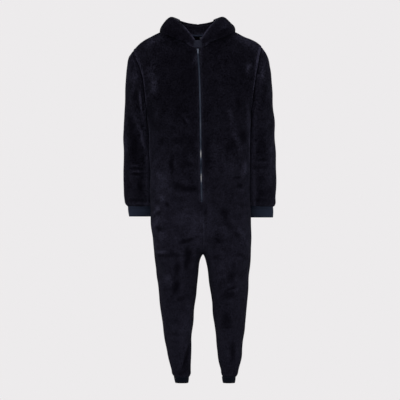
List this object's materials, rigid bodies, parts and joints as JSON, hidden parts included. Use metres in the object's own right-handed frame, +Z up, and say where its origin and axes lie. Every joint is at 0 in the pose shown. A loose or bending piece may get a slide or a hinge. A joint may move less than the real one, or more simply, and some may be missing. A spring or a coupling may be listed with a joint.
{
  "type": "onesie pajama",
  "caption": "Hooded one-piece pyjama in plush fleece, zipped down the front and filled out as if worn, with its neck, wrists and ankles open.",
  "frame": {"origin": "on the centre line between the wearer's shoulders, 45 mm below the neck seam's side points, in the plane of the side seams at the chest", "axes": "+Z up along the body, -Y to the front where the zip is, +X to the right of someone who looks at the front"},
  "size_m": [0.645, 0.29, 1.5365],
  "materials": {
    "plush": "plush fleece, dark navy, with a soft nap",
    "wrist_rib": "smooth knit, navy",
    "ankle_rib": "smooth knit, dark navy",
    "zip_tape": "woven tape",
    "zip_chain": "nylon coil, grey",
    "zip_metal": "satin grey",
    "neck_tape": "woven tape",
    "label": "woven, blank"
  },
  "bodies": {
    "garment": {"front_left": "plush", "front_right": "plush", "back_left": "plush", "back_right": "plush", "sleeve_left": "plush", "sleeve_right": "plush", "hood_left": "plush", "hood_right": "plush", "wrist_cuff_left": "wrist_rib", "wrist_cuff_right": "wrist_rib", "ankle_cuff_left": "ankle_rib", "ankle_cuff_right": "ankle_rib", "zip_tape_left": "zip_tape", "zip_tape_right": "zip_tape", "zip_chain": "zip_chain", "zip_bottom_stop": "zip_metal", "slider": "zip_metal", "zip_guard": "zip_tape", "neck_tape": "neck_tape", "neck_label": "label"},
    "pull_tab": {"pull_tab": "zip_metal"}
  },
  "joints": [
    {"name": "pull_tab_swing", "type": "hinge", "parent": "garment", "child": "pull_tab", "pos_m": [-0.00882, -0.07683, -0.05067], "axis": [-0.9994, -0.01, -0.0322], "range_deg": [0, 150]}
  ]
}
